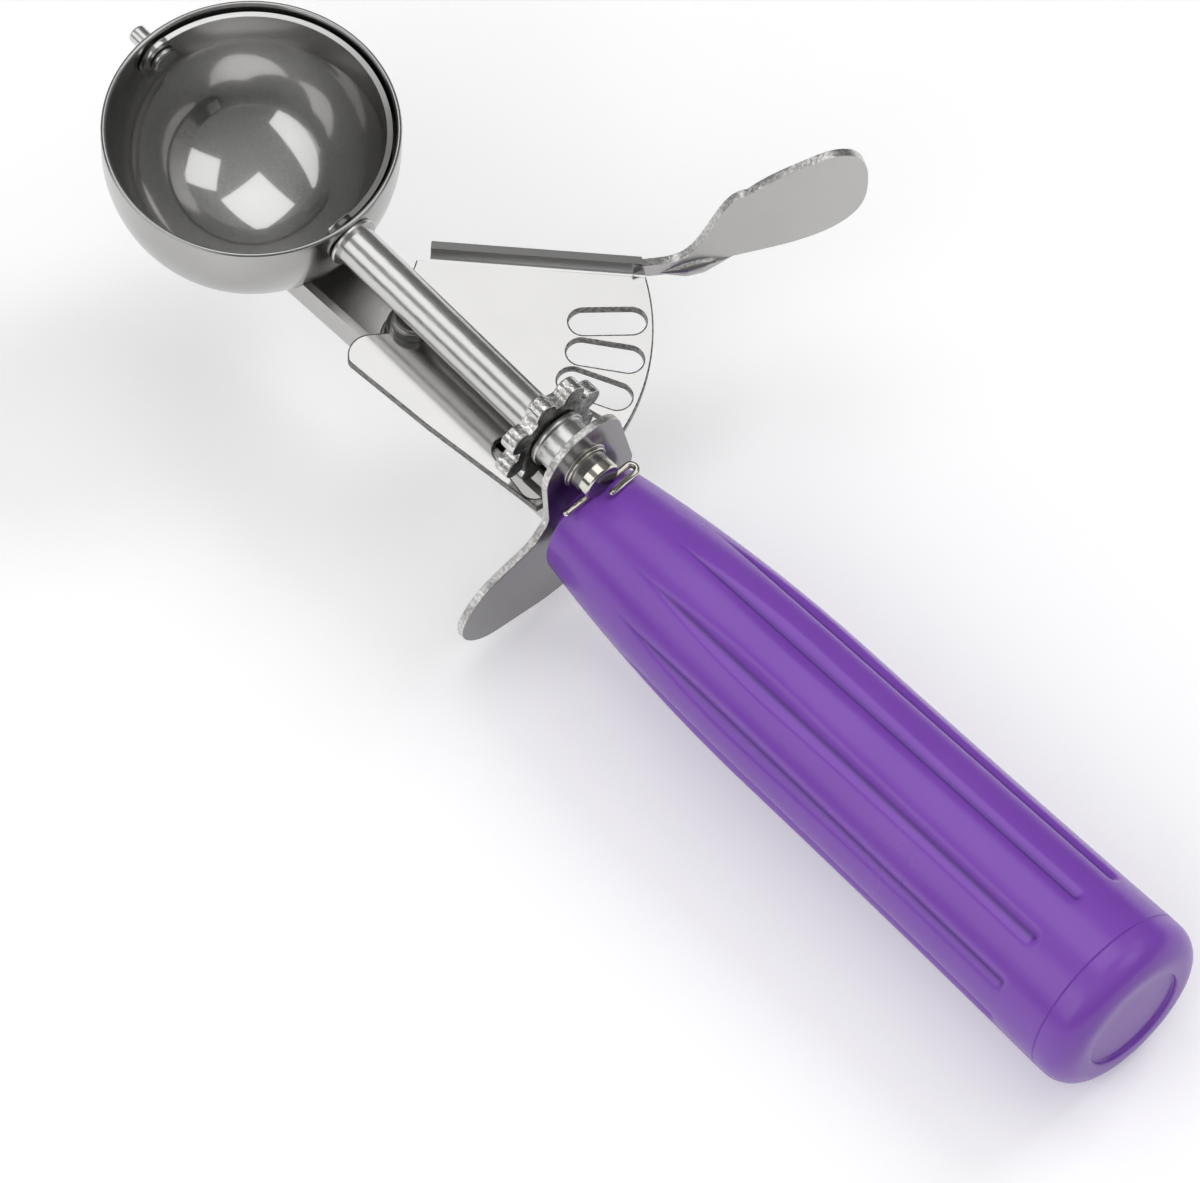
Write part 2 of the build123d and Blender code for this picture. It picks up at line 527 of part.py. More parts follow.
bowl.part.label = "bowl"
export_step(bowl.part, "parts/bowl.step")
sweep_blade.part.label = "sweep_blade"
export_step(sweep_blade.part, "parts/sweep_blade.step")
far_pin.part.label = "far_pin"
export_step(far_pin.part, "parts/far_pin.step")
drive_shaft.part.label = "drive_shaft"
export_step(drive_shaft.part, "parts/drive_shaft.step")
nose_washer.part.label = "nose_washer"
export_step(nose_washer.part, "parts/nose_washer.step")
pinion.part.label = "pinion"
export_step(pinion.part, "parts/pinion.step")
bearing_bush.part.label = "bearing_bush"
export_step(bearing_bush.part, "parts/bearing_bush.step")
bracket.part.label = "bracket"
export_step(bracket.part, "parts/bracket.step")
retaining_washer.part.label = "retaining_washer"
export_step(retaining_washer.part, "parts/retaining_washer.step")
spring_clip.part.label = "spring_clip"
export_step(spring_clip.part, "parts/spring_clip.step")
shank.part.label = "shank"
export_step(shank.part, "parts/shank.step")
lever_post.part.label = "lever_post"
export_step(lever_post.part, "parts/lever_post.step")
post_spacer.part.label = "post_spacer"
export_step(post_spacer.part, "parts/post_spacer.step")
return_spring.part.label = "return_spring"
export_step(return_spring.part, "parts/return_spring.step")
thumb_lever.part.label = "thumb_lever"
export_step(thumb_lever.part, "parts/thumb_lever.step")
handle_body.part.label = "handle_body"
export_step(handle_body.part, "parts/handle_body.step")
end_cap.part.label = "end_cap"
export_step(end_cap.part, "parts/end_cap.step")
grip_stud.part.label = "grip_stud"
export_step(grip_stud.part, "parts/grip_stud.step")
stud_washer.part.label = "stud_washer"
export_step(stud_washer.part, "parts/stud_washer.step")
stud_nut.part.label = "stud_nut"
export_step(stud_nut.part, "parts/stud_nut.step")
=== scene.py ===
# %% [markdown]
# Portion scoop, dressed for its portrait
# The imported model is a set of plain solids: a steel bowl, a sweeping blade, a slotted lever and a
# moulded handle. This lesson puts a camera where the photographer stood and lays the scoop on a pale
# table. It then gives each piece the finish of the real one: mirror polish, satin or semi-gloss plastic.

# %% Load the frame
import json
from math import atan2, cos, degrees, pi, radians, sin, sqrt
import bpy
from mathutils import Matrix, Vector
from mathutils.bvhtree import BVHTree


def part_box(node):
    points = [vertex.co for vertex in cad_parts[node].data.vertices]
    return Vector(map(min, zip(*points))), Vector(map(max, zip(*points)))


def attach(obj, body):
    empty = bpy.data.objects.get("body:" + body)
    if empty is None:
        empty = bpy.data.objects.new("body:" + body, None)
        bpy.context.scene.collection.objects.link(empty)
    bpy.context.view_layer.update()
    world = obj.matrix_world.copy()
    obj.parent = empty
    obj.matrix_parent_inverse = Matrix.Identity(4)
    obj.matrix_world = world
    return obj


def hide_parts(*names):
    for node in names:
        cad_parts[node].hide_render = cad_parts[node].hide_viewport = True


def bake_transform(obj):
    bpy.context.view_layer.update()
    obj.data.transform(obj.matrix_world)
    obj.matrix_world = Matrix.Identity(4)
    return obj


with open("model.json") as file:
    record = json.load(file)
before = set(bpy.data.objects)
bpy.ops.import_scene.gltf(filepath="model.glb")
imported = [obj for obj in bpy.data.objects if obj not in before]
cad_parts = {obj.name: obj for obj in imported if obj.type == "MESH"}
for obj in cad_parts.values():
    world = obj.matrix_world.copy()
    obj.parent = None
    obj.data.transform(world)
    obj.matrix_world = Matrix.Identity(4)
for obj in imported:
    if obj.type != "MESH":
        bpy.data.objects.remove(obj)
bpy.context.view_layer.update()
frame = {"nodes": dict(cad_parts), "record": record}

MM = 0.001
nodes = frame["nodes"]
body_of = {node: body for body, names in frame["record"]["behaviour"]["bodies"].items() for node in names}
scene = bpy.context.scene
scene.view_settings.view_transform = "Standard"

# %% [markdown]
# The camera
# A long lens flattens the scoop in the photograph: its two ends are nearly at the same scale. The
# camera stands high over the thumb's other side, about 1.1 m away. Two directions, one to the right
# and one back towards the lens, set its roll as well as its aim.

# %% Camera
CAMERA_SPOT = Vector((0.44044, -0.38688, 0.9846))
VIEW_RIGHT = Vector((0.6777, 0.7344, 0.0359)).normalized()
VIEW_BACK = Vector((0.3281, -0.3458, 0.8791)).normalized()
VIEW_UP = VIEW_BACK.cross(VIEW_RIGHT).normalized()

turn = Matrix((VIEW_UP.cross(VIEW_BACK), VIEW_UP, VIEW_BACK)).transposed()
bpy.ops.object.camera_add(location=CAMERA_SPOT, rotation=turn.to_euler())
camera = bpy.context.object
camera.data.lens = 240
camera.data.sensor_width = 36
camera.data.sensor_fit = "HORIZONTAL"
camera.data.clip_end = 20
scene.camera = camera
print("camera looks along", [round(v, 3) for v in -VIEW_BACK])

# %% [markdown]
# The table
# The scoop lies on the foot of its finger rest and on the lowest edge of its cap, so the table's
# plane goes just under those two points and is pitched against the frame. One large plane is enough,
# because all it has to do is catch the soft shadow.

# %% Table
TABLE_SIZE, TABLE_GAP, HEEL_SHARE = 5, 0.2 * MM, 0.55
rest_low, rest_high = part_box("bracket")
foot = Vector(((rest_low.x + rest_high.x) / 2, 0, rest_low.z))
cap_low, cap_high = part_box("end_cap")
heel = Vector((cap_low.x + HEEL_SHARE * (cap_high.x - cap_low.x), 0, cap_low.z))
pitch = -atan2(heel.z - foot.z, heel.x - foot.x)
bpy.ops.mesh.primitive_plane_add(size=TABLE_SIZE, location=foot - Vector((0, 0, TABLE_GAP)),
                                 rotation=(0, pitch, 0))
table = bpy.context.object
table.name = "table"
print("table pitched by", round(degrees(-pitch), 2), "degrees")

# %% [markdown]
# Studio light
# Polished steel is a picture of the room round it. In the photograph it shows a white panel overhead,
# a broad pale screen on the near side and another panel beyond the handle, with a dim room between
# them. Those three are area lamps with the brightness that they have in the mirror. The key and the
# fill do most of the lighting: they are kept out of the mirrors, as a studio hides its own lamps.

# %% Panels
def panel(name, spot, aim, size, brightness, mirrored=True):
    """An area lamp with the brightness that it shows in a mirror."""
    bpy.ops.object.light_add(type="AREA", location=spot)
    lamp = bpy.context.object
    lamp.name = name
    lamp.data.shape = "RECTANGLE"
    lamp.data.size, lamp.data.size_y = size
    lamp.data.energy = brightness * pi * size[0] * size[1]
    lamp.rotation_euler = (Vector(aim) - Vector(spot)).to_track_quat("-Z", "Y").to_euler()
    lamp.visible_glossy = mirrored
    print(name, round(lamp.data.energy, 2), "W")

panel("panel_above", (-0.42, 0.20, 1.13), (-0.42, 0.20, 0), (0.95, 0.80), 1.15)
panel("screen_near", (-0.25, -1.05, 0.72), (0.03, 0, 0.02), (1.70, 0.80), 1.15)
panel("panel_far", (0.60, 0.55, 1.00), (0.05, 0, 0.02), (0.60, 0.60), 1.1)
panel("key", (0.05, 1.00, 1.05), (0.07, 0, 0.02), (0.55, 0.55), 6.0, mirrored=False)
panel("fill", (0.42, -0.80, 1.15), (0.08, 0, 0), (1.40, 1.40), 1.05, mirrored=False)

# %% [markdown]
# Shader sums
# A finish is mostly arithmetic on a few patterns. This small class lets a pattern take part in plain
# Python sums: each operator adds one Math node. Any other node comes from Finish.node, which sets the
# node up, fills its sockets and hands back an output.

# %% Shader helpers
class Value:
    """A socket that adds a Math node for each sum it takes part in."""

    def __init__(self, finish, socket):
        self.finish, self.socket = finish, socket

    def sum(self, operation, first, second):
        return self.finish.node("ShaderNodeMath", {"operation": operation}, {0: first, 1: second})

    def __add__(self, other): return self.sum("ADD", self, other)
    def __radd__(self, other): return self.sum("ADD", other, self)
    def __sub__(self, other): return self.sum("SUBTRACT", self, other)
    def __rsub__(self, other): return self.sum("SUBTRACT", other, self)
    def __mul__(self, other): return self.sum("MULTIPLY", self, other)
    def __rmul__(self, other): return self.sum("MULTIPLY", other, self)


class Finish:
    """A node material, or the world, built one node at a time."""

    def __init__(self, owner):
        owner.use_nodes = True
        self.owner, self.tree = owner, owner.node_tree
        self.shader = self.tree.nodes.get("Principled BSDF")

    def node(self, kind, settings={}, inputs={}, output=0):
        """Adds a node, sets it up, fills its sockets and hands back one of its outputs."""
        made = self.tree.nodes.new(kind)
        for key, value in settings.items():
            if key == "stops":
                while len(made.color_ramp.elements) < len(value):
                    made.color_ramp.elements.new(0.5)
                for stop, (place, grey) in zip(made.color_ramp.elements, value):
                    stop.position, stop.color = place, (grey, grey, grey, 1)
            else:
                setattr(made, key, value)
        for key, value in inputs.items():
            self.put(made.inputs[key], value)
        return Value(self, made.outputs[output])

    def put(self, socket, value):
        """Links a Value to a socket, or writes a plain value into it."""
        if isinstance(value, Value):
            self.tree.links.new(value.socket, socket)
        else:
            socket.default_value = value

    def set(self, sockets):
        """Fills sockets of the shader by their names."""
        for name, value in sockets.items():
            self.put(self.shader.inputs[name], value)

    def pattern(self, scale, detail=3.0, stretch=(1, 1, 1), turn=(0, 0, 0)):
        """Cloudy noise on the piece itself, drawn out along an axis where stretch is small."""
        place = self.node("ShaderNodeTexCoord", output="Object")
        place = self.node("ShaderNodeMapping", inputs={"Vector": place, "Scale": stretch, "Rotation": turn})
        return self.node("ShaderNodeTexNoise", inputs={"Vector": place, "Scale": scale, "Detail": detail})

    def ramp(self, value, *stops):
        """Greys at the (place, grey) stops and evenly between them."""
        return self.node("ShaderNodeValToRGB", {"stops": stops}, {"Fac": value})

    def blend(self, amount, first, second):
        """Goes from the first colour to the second as amount goes from 0 to 1.
        A Mix node takes its colours in sockets 6 and 7 and gives their blend in output 2."""
        return self.node("ShaderNodeMix", {"data_type": "RGBA"}, {0: amount, 6: first, 7: second}, 2)

    def relief(self, height, depth):
        """Feeds a height into the shader's normal; depth is in metres."""
        bump = self.node("ShaderNodeBump", inputs={"Height": height, "Distance": depth, "Strength": 1.0})
        self.set({"Normal": bump})


def finish(name):
    return Finish(bpy.data.materials.new(name))


# %% [markdown]
# The room
# The grey room fades from dark at eye level to paler overhead, as a studio does. Only the direction
# of a ray decides its shade.

# %% World
scene.world = bpy.data.worlds.new("studio")
room = Finish(scene.world)
direction = room.node("ShaderNodeTexCoord", output="Generated")
height = room.node("ShaderNodeSeparateXYZ", inputs={"Vector": direction}, output="Z")
shade = room.ramp(height, (0.0, 0.10), (0.35, 0.13), (0.75, 0.24), (1.0, 0.32))
room.put(room.tree.nodes["Background"].inputs["Color"], shade)
print("room made of", len(room.tree.nodes), "nodes")

# %% [markdown]
# The table's surface
# A white table lit evenly is a shade below paper white. A little glow, for the camera and for
# mirrors and glass alike, lifts it to white and leaves the shadow. Seen from below, the table is clear.

# %% Table surface
GLOW = 0.24
paper = finish("table_white")
paper.set({"Base Color": (0.86, 0.86, 0.865, 1), "Roughness": 0.9, "Specular IOR Level": 0.1,
           "Emission Color": (1, 1, 1, 1)})
seen = paper.node("ShaderNodeLightPath", output="Is Camera Ray")
mirrored = paper.node("ShaderNodeLightPath", output="Is Glossy Ray")
through = paper.node("ShaderNodeLightPath", output="Is Transmission Ray")
paper.set({"Emission Strength": (seen + mirrored + through) * GLOW})
below = paper.node("ShaderNodeNewGeometry", output="Backfacing")
clear = paper.node("ShaderNodeBsdfTransparent", output="BSDF")
lit = Value(paper, paper.shader.outputs[0])
surface = paper.node("ShaderNodeMixShader", inputs={0: below, 1: lit, 2: clear})
paper.put(paper.tree.nodes["Material Output"].inputs["Surface"], surface)
table.data.materials.append(paper.owner)
print("table glows by", GLOW)

# %% [markdown]
# Steel
# All the metal is stainless steel, but no two pieces were finished alike. Each finish starts from the
# same recipe: a metal whose roughness drifts a little, faint smudges in its colour and a very shallow
# relief, drawn out along the direction in which it was polished, turned or brushed. Worn polish also
# has a haze of fine spots, which puts a soft glow round each reflection. The bowl and the blade have a
# painted dark reflection: their colour gets darker towards one side.

# %% Steel finishes
CLOUDS, HAZE_SPOTS, DULL, DARK_SIDE_DRIFT = 140, 30000, 0.86, 0.3
EVEN = (1, 1, 1)

def steel(name, tint, shine, drift, grain, stretch, depth, turn=(0, 0, 0), haze=0.0, painted_dark_side=None):
    """shine is the mean roughness, drift its spread, grain the marks per metre and depth their relief.
    haze is how much rougher the hazy part of the surface is, in spots too fine to see singly.
    stain is a painted dark reflection: a darker tint, a direction in the plane of the rim, and where
    along it the tint starts and where it is full."""
    made = finish(name)
    clouds = made.pattern(CLOUDS, 4.0)
    marks = made.pattern(grain, 5.0, stretch, turn)
    dull = tuple(DULL * c for c in tint)
    rough = shine + drift * (clouds - 0.5) + drift * (marks - 0.5)
    if haze:
        rough = rough + haze * made.ramp(made.pattern(HAZE_SPOTS, 1.0), (0.53, 0.0), (0.60, 1.0))
    colour = made.blend(clouds * 0.7 + marks * 0.3, (*dull, 1), (*tint, 1))
    # stain is a painted dark reflection: the colour darkens towards one side.
    if painted_dark_side:
        dark_side_tint, (across, over), start, end = painted_dark_side
        place = made.node("ShaderNodeTexCoord", output="Object")
        x = made.node("ShaderNodeSeparateXYZ", inputs={"Vector": place}, output="X")
        y = made.node("ShaderNodeSeparateXYZ", inputs={"Vector": place}, output="Y")
        share = (x * across + y * over - start) * (1 / (end - start)) + DARK_SIDE_DRIFT * (clouds - 0.5)
        colour = made.blend(made.ramp(share, (0.0, 0.0), (1.0, 1.0)), colour, (*dark_side_tint, 1))
    made.set({"Metallic": 1.0, "Roughness": rough, "Base Color": colour})
    made.relief(marks, depth)
    return made.owner

# The bowl and the blade get their painted dark reflection through the stain argument.
mirror_steel = steel("mirror_steel", (0.68, 0.676, 0.667), 0.07, 0.05, 900, EVEN, 0.002 * MM, haze=0.40,
                     painted_dark_side=((0.20, 0.198, 0.194), (0.68, 0.73), 5 * MM, 21 * MM))
blade_steel = steel("blade_steel", (0.66, 0.656, 0.648), 0.10, 0.05, 900, EVEN, 0.002 * MM, haze=0.30,
                    painted_dark_side=((0.14, 0.137, 0.133), (1, 0), -14 * MM, 14 * MM))
satin_steel = steel("satin_steel", (0.51, 0.505, 0.496), 0.22, 0.08, 1400, (1, 1, 0.15), 0.004 * MM)
plate_steel = steel("plate_steel", (0.625, 0.62, 0.61), 0.13, 0.05, 1300, (0.2, 1, 1), 0.001 * MM,
                    turn=(0, 0, radians(40)))
pad_steel = steel("pad_steel", (0.52, 0.515, 0.50), 0.30, 0.08, 2200, (1, 1, 0.25), 0.004 * MM)
turned_steel = steel("turned_steel", (0.73, 0.725, 0.712), 0.22, 0.10, 2400, (0.25, 1, 1), 0.016 * MM,
                     haze=0.24)
# bracket_steel is painted dark: its low tint stands in for the shadowed table and handle underside that it
# mirrors.
bracket_steel = steel("bracket_steel", (0.29, 0.286, 0.282), 0.14, 0.08, 1500, (1, 1, 0.3), 0.004 * MM,
                      haze=0.22)
lip_steel = steel("lip_steel", (0.20, 0.198, 0.193), 0.30, 0.10, 1800, EVEN, 0.010 * MM)
fold_steel = steel("fold_steel", (0.66, 0.655, 0.645), 0.55, 0.10, 1800, EVEN, 0.006 * MM)
nickel_wire = steel("nickel_wire", (0.76, 0.735, 0.66), 0.13, 0.10, 1800, (1, 0.1, 1), 0.006 * MM)
plain_steel = steel("plain_steel", (0.62, 0.61, 0.60), 0.30, 0.12, 900, EVEN, 0.010 * MM)
print("steel finishes:", [m.name for m in bpy.data.materials if m.name.endswith("steel")])

# %% [markdown]
# Cut edges
# The lever and the bracket were blanked from sheet. Their faces are polished but the cut edges are
# left as the press made them: pitted and torn across the thickness. The edges of the bracket and the
# thumb pad are rubbed bright in use. Those of the lever's plate and of its slots are painted dark, a
# painted reflection of the dim room.

# %% Cut edges
def cut_edge(name, dark, bright):
    """Torn metal that is dark in its pits and bright between them."""
    made = finish(name)
    tears = made.pattern(2600, 5.0, (1, 1, 0.5))
    pits = made.ramp(made.pattern(2100, 3.0), (0.38, 0.0), (0.62, 1.0))
    made.set({"Metallic": 1.0, "Roughness": 0.24 + 0.22 * tears,
              "Base Color": made.blend(pits, (*dark, 1), (*bright, 1))})
    made.relief(tears * 0.5 + pits * 0.5, 0.05 * MM)
    return made.owner

sheared_edge = cut_edge("sheared_edge", (0.50, 0.49, 0.475), (0.80, 0.795, 0.78))
# punched_edge_painted_dark is painted dark, a painted reflection of the dim room; its pits and tears are
# real.
punched_edge_painted_dark = cut_edge("punched_edge_painted_dark", (0.10, 0.098, 0.094), (0.26, 0.255, 0.245))
print("edge finishes:", sheared_edge.name, punched_edge_painted_dark.name)

# %% [markdown]
# Cast wheel
# The pinion comes from a casting, and its end faces keep the coarse skin of the mould; their darkness
# is painted shade. Tumbling and years of rubbing in the slots have polished its rim, so the rim gets its
# own brighter finish with some pits left in it.

# %% Cast finishes
def cast(name, dark, bright, shine, depth):
    """Lumpy, pitted metal; shine sets its roughness and depth its relief."""
    made = finish(name)
    lumps = made.pattern(850, 4.0)
    pits = made.ramp(made.pattern(1500, 3.0), (0.40, 0.0), (0.60, 1.0))
    made.set({"Metallic": 1.0, "Roughness": shine + 0.20 * lumps - 0.08 * pits,
              "Base Color": made.blend(pits * 0.6 + lumps * 0.4, (*dark, 1), (*bright, 1))})
    made.relief(lumps * 0.7 + pits * 0.3, depth)
    return made.owner

worn_rim = cast("worn_rim", (0.40, 0.39, 0.375), (0.84, 0.835, 0.82), 0.16, 0.10 * MM)
# cast_face_painted_shade is painted dark as painted shade on the pinion's end faces; its lumps and pits are
# the real cast skin.
cast_face_painted_shade = cast("cast_face_painted_shade", (0.10, 0.098, 0.094), (0.34, 0.335, 0.325), 0.32, 0.10 * MM)
print("cast finishes:", worn_rim.name, cast_face_painted_shade.name)

# %% [markdown]
# Moulded plastic
# The handle is one shade of purple all through. Moulding leaves it semi-gloss with an orange-peel
# skin too fine to see singly, slightly cloudy, and handling has dulled it in patches. Light hardly
# reaches the bottom of a flute, so an attribute of the handle paints shade into it there.

# %% Grip plastic
grip = finish("grip_plastic")
clouds = grip.pattern(60, 3.0)
peel = grip.pattern(2600, 2.0)
skin = grip.blend(clouds, (0.192, 0.056, 0.440, 1), (0.232, 0.078, 0.484, 1))
# The crease attribute is painted shade: it darkens the purple at the bottom of each flute.
crease = grip.node("ShaderNodeAttribute", {"attribute_name": "crease"}, output="Fac")
grip.set({"Base Color": grip.blend(crease * 0.8, skin, (0.060, 0.022, 0.190, 1)),
          "Roughness": 0.22 + 0.08 * clouds,
          "Specular IOR Level": 0.5})
grip.relief(peel, 0.003 * MM)
grip_plastic = grip.owner
print("plastic made of", len(grip.tree.nodes), "nodes")

# %% [markdown]
# Two ways to make a piece
# A round piece is turned: its outline is drawn one vertex at a time, by extruding, and spun round its
# axis. A pressed or machined piece is dressed: a copy of the solid is merged into one skin, its sharp
# edges get the small rounding that polishing leaves, and its normals are weighted so that flats stay flat.
# Where the rounding throws a vertex off the solid, it goes back to the nearest spot on it.

# %% Modelling helpers
WELD, SAME_PLANE = 0.002 * MM, radians(0.5)
TURNED_CORNER, BEVELLED_CORNER, DRESSED_CORNER = radians(32), radians(35), radians(40)

def only(piece):
    """Selects one piece alone and makes it the active one."""
    bpy.ops.object.select_all(action="DESELECT")
    piece.select_set(True)
    bpy.context.view_layer.objects.active = piece


def seat(piece, node, *finishes):
    """Puts a finished piece in the place of a solid."""
    piece.data.materials.clear()
    for made in finishes:
        piece.data.materials.append(made)
    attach(piece, body_of[node])
    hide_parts(node)
    print(piece.name, len(piece.data.polygons), "faces")


def drawn(name, spots):
    """A line drawn through the spots one vertex at a time, left in edit mode with all of it selected."""
    bpy.ops.object.select_all(action="DESELECT")
    bpy.ops.mesh.primitive_plane_add(size=MM)
    piece = bpy.context.object
    piece.name = name
    bpy.ops.object.mode_set(mode="EDIT")
    bpy.ops.mesh.merge(type="CENTER")
    bpy.ops.transform.translate(value=spots[0])
    for here, there in zip(spots, spots[1:]):
        bpy.ops.mesh.extrude_region_move(TRANSFORM_OT_translate={"value": there - here})
    bpy.ops.mesh.select_all(action="SELECT")
    return piece


def turned(name, centre, axis, out, outline, steps):
    """Spins an outline of (along, out) pairs round the axis through centre."""
    piece = drawn(name, [centre + axis * along + out * away for along, away in outline])
    bpy.ops.mesh.spin(steps=steps, angle=2 * pi, center=centre, axis=axis)
    bpy.ops.mesh.select_all(action="SELECT")
    bpy.ops.mesh.remove_doubles(threshold=WELD)
    bpy.ops.mesh.normals_make_consistent(inside=False)
    bpy.ops.object.mode_set(mode="OBJECT")
    bpy.ops.object.shade_smooth_by_angle(angle=TURNED_CORNER)
    return piece


def smoothed(piece):
    """Smooths a piece except at its corners and weights its normals by area."""
    bpy.ops.object.shade_smooth_by_angle(angle=DRESSED_CORNER)
    bpy.ops.object.modifier_add(type="WEIGHTED_NORMAL")
    piece.modifiers[-1].keep_sharp = True
    bpy.ops.object.modifier_apply(modifier=piece.modifiers[-1].name)


def settled(piece, node, reach):
    """Puts each vertex that lies further than reach from the solid back on it."""
    skin = BVHTree.FromPolygons([v.co for v in nodes[node].data.vertices],
                                [p.vertices for p in nodes[node].data.polygons])
    for vertex in piece.data.vertices:
        spot, _, _, distance = skin.find_nearest(vertex.co)
        if distance > reach:
            print("  settled a vertex", round(distance / MM, 2), "mm off")
            vertex.co = spot


def dressed(node, rounding, segments=2, cutter=None):
    """A merged copy of a solid with its sharp edges rounded, after a cutter has taken its share."""
    piece = bpy.data.objects.new(node + "_dressed", nodes[node].data.copy())
    scene.collection.objects.link(piece)
    only(piece)
    bpy.ops.object.mode_set(mode="EDIT")
    bpy.ops.mesh.select_all(action="SELECT")
    bpy.ops.mesh.remove_doubles(threshold=WELD)
    bpy.ops.object.mode_set(mode="OBJECT")
    if cutter:
        bpy.ops.object.modifier_add(type="BOOLEAN")
        piece.modifiers[-1].operation, piece.modifiers[-1].object = "DIFFERENCE", cutter
        bpy.ops.object.modifier_apply(modifier=piece.modifiers[-1].name)
        bpy.data.objects.remove(cutter)
    bpy.ops.object.mode_set(mode="EDIT")
    bpy.ops.mesh.select_all(action="SELECT")
    bpy.ops.mesh.dissolve_limited(angle_limit=SAME_PLANE)
    bpy.ops.object.mode_set(mode="OBJECT")
    bpy.ops.object.modifier_add(type="BEVEL")
    soften = piece.modifiers[-1]
    soften.width, soften.segments = rounding, segments
    soften.limit_method, soften.angle_limit = "ANGLE", BEVELLED_CORNER
    soften.use_clamp_overlap = True
    bpy.ops.object.modifier_apply(modifier=soften.name)
    settled(piece, node, rounding)
    smoothed(piece)
    return piece


def paint(piece, slot, chosen):
    """Gives the faces that chosen(centre, normal) picks the material in that slot."""
    picked = 0
    for face in piece.data.polygons:
        if chosen(face.center, face.normal):
            face.material_index = slot
            picked += 1
    print("  slot", slot, "on", picked, "faces")


def arc(centre, radius, start, end, count):
    """Points on an arc, as (along, out) pairs, with the angles in degrees."""
    steps = [radians(start + (end - start) * i / count) for i in range(count + 1)]
    return [(centre[0] + radius * cos(a), centre[1] + radius * sin(a)) for a in steps]


# %% [markdown]
# Bowl
# The bowl is half a sphere about the shaft's axis with a short collar, drawn from thin sheet. Its
# inside is a mirror, painted darker on the side where the blade rests: a painted dark reflection.
# Its outside is satin, and the lip of the rim is ground round.

# %% Bowl
BOWL_WALL = 0.8 * MM
bowl_low, bowl_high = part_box("bowl")
bowl_r = (bowl_high.y - bowl_low.y) / 2
bowl_centre = Vector((0, 0, bowl_low.z + bowl_r))
rim = bowl_high.z - bowl_centre.z
lip = BOWL_WALL / 2
outline = arc((0, 0), bowl_r, 180, 90, 60)[:-1]
outline += arc((rim - lip, bowl_r - lip), lip, 90, -90, 10)
outline += arc((0, 0), bowl_r - BOWL_WALL, 90, 180, 60)
bowl = turned("bowl_shell", bowl_centre, Vector((0, 0, 1)), Vector((1, 0, 0)), outline, 192)
seat(bowl, "bowl", satin_steel, mirror_steel)
within = bowl_r - 0.6 * BOWL_WALL

def inside(c, n):
    """Whether a face looks into the bowl; the collar above the centre counts as a cylinder."""
    spot = c - bowl_centre
    return spot.xy.length < within and n.dot(Vector((spot.x, spot.y, min(spot.z, 0)))) < 0

paint(bowl, 1, inside)

# %% [markdown]
# Blade, pins and other small steel
# These are small machined pieces whose solids are already right. They only need the rounding on their
# edges that catches the light. The blade is painted darker towards the shaft: a painted dark reflection.

# %% Small steel
for node, rounding, made in (("sweep_blade", 0.25, blade_steel), ("far_pin", 0.12, turned_steel),
                             ("nose_washer", 0.12, turned_steel), ("bearing_bush", 0.12, turned_steel),
                             ("retaining_washer", 0.10, nickel_wire), ("lever_post", 0.12, bracket_steel),
                             ("post_spacer", 0.12, turned_steel), ("spring_clip", 0.05, nickel_wire),
                             ("shank", 0.15, plain_steel)):
    seat(dressed(node, rounding * MM), node, made)

# %% [markdown]
# Drive shaft
# The shaft is a ground bar. Behind the bracket its stub is plated, with a warmer shine, and the wire
# clip lies in a groove cut so close to the wire that it hardly shows. The groove of the solid has room
# to run in, so here its bottom is brought up to the wire.

# %% Drive shaft
GROOVE_START, GROOVE_DEPTH, STUB_CHAMFER, PLATED = 0.8 * MM, 0.03 * MM, 0.3 * MM, 0.6 * MM
bracket_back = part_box("bracket")[1].x
shaft_low, shaft_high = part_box("drive_shaft")
shaft_z = (shaft_low.z + shaft_high.z) / 2
stub_r = (shaft_high.z - shaft_low.z) / 2
stub_end = shaft_high.x - STUB_CHAMFER

def filled(piece, radius, chosen):
    """Brings the vertices that chosen(along, away) picks out to a radius about the shaft's axis."""
    for vertex in piece.data.vertices:
        away = Vector((0, vertex.co.y, vertex.co.z - shaft_z))
        if chosen(vertex.co.x, away.length):
            vertex.co += away * (radius / away.length - 1)

shaft = dressed("drive_shaft", 0.12 * MM)
filled(shaft, stub_r - GROOVE_DEPTH,
       lambda x, r: bracket_back + GROOVE_START < x < stub_end and r > 0.8 * stub_r)
seat(shaft, "drive_shaft", turned_steel, nickel_wire, bracket_steel)
paint(shaft, 1, lambda c, n: c.x > bracket_back - PLATED)
# The stub's end face is painted dark with the bracket's steel, as a painted reflection.
paint(shaft, 2, lambda c, n: c.x > bracket_back and n.x > 0.99)

# %% [markdown]
# Pinion
# The pinion is a cast wheel with chunky fingers, tumbled until its edges are well rounded. A wider
# rounding in more steps gives it that worn look. A casting has shallow valleys, so they are filled up
# to where the plate just clears them.

# %% Pinion
BORE_CLEAR, VALLEY_R = 5.0 * MM, 6.55 * MM
pinion = dressed("pinion", 0.45 * MM, 3)
filled(pinion, VALLEY_R, lambda x, r: BORE_CLEAR < r < VALLEY_R)
# The end faces get the painted shade of cast_face_painted_shade.
seat(pinion, "pinion", worn_rim, cast_face_painted_shade)
paint(pinion, 1, lambda c, n: abs(n.x) > 0.93)

# %% [markdown]
# Bracket
# One upright pressing carries the bearing and runs down into the finger rest. Its broad faces are
# polished, so its back mirrors the handle, and their steel is painted dark as painted shade of the
# shadowed table and handle that they mirror. Its cut edge is torn and bright.

# %% Bracket
EDGE_ON = 0.5
bracket = dressed("bracket", 0.14 * MM)
seat(bracket, "bracket", bracket_steel, sheared_edge)
paint(bracket, 1, lambda c, n: abs(n.x) < EDGE_ON)

# %% [markdown]
# Thumb lever
# Plate, lip and thumb pad are one pressing. The plate is trimmed close round its rivet and ends in a
# small round toe. The solid has a plain round lobe there, so a prism drawn along that line takes its
# corner away. The prism's other sides lie outside the plate.

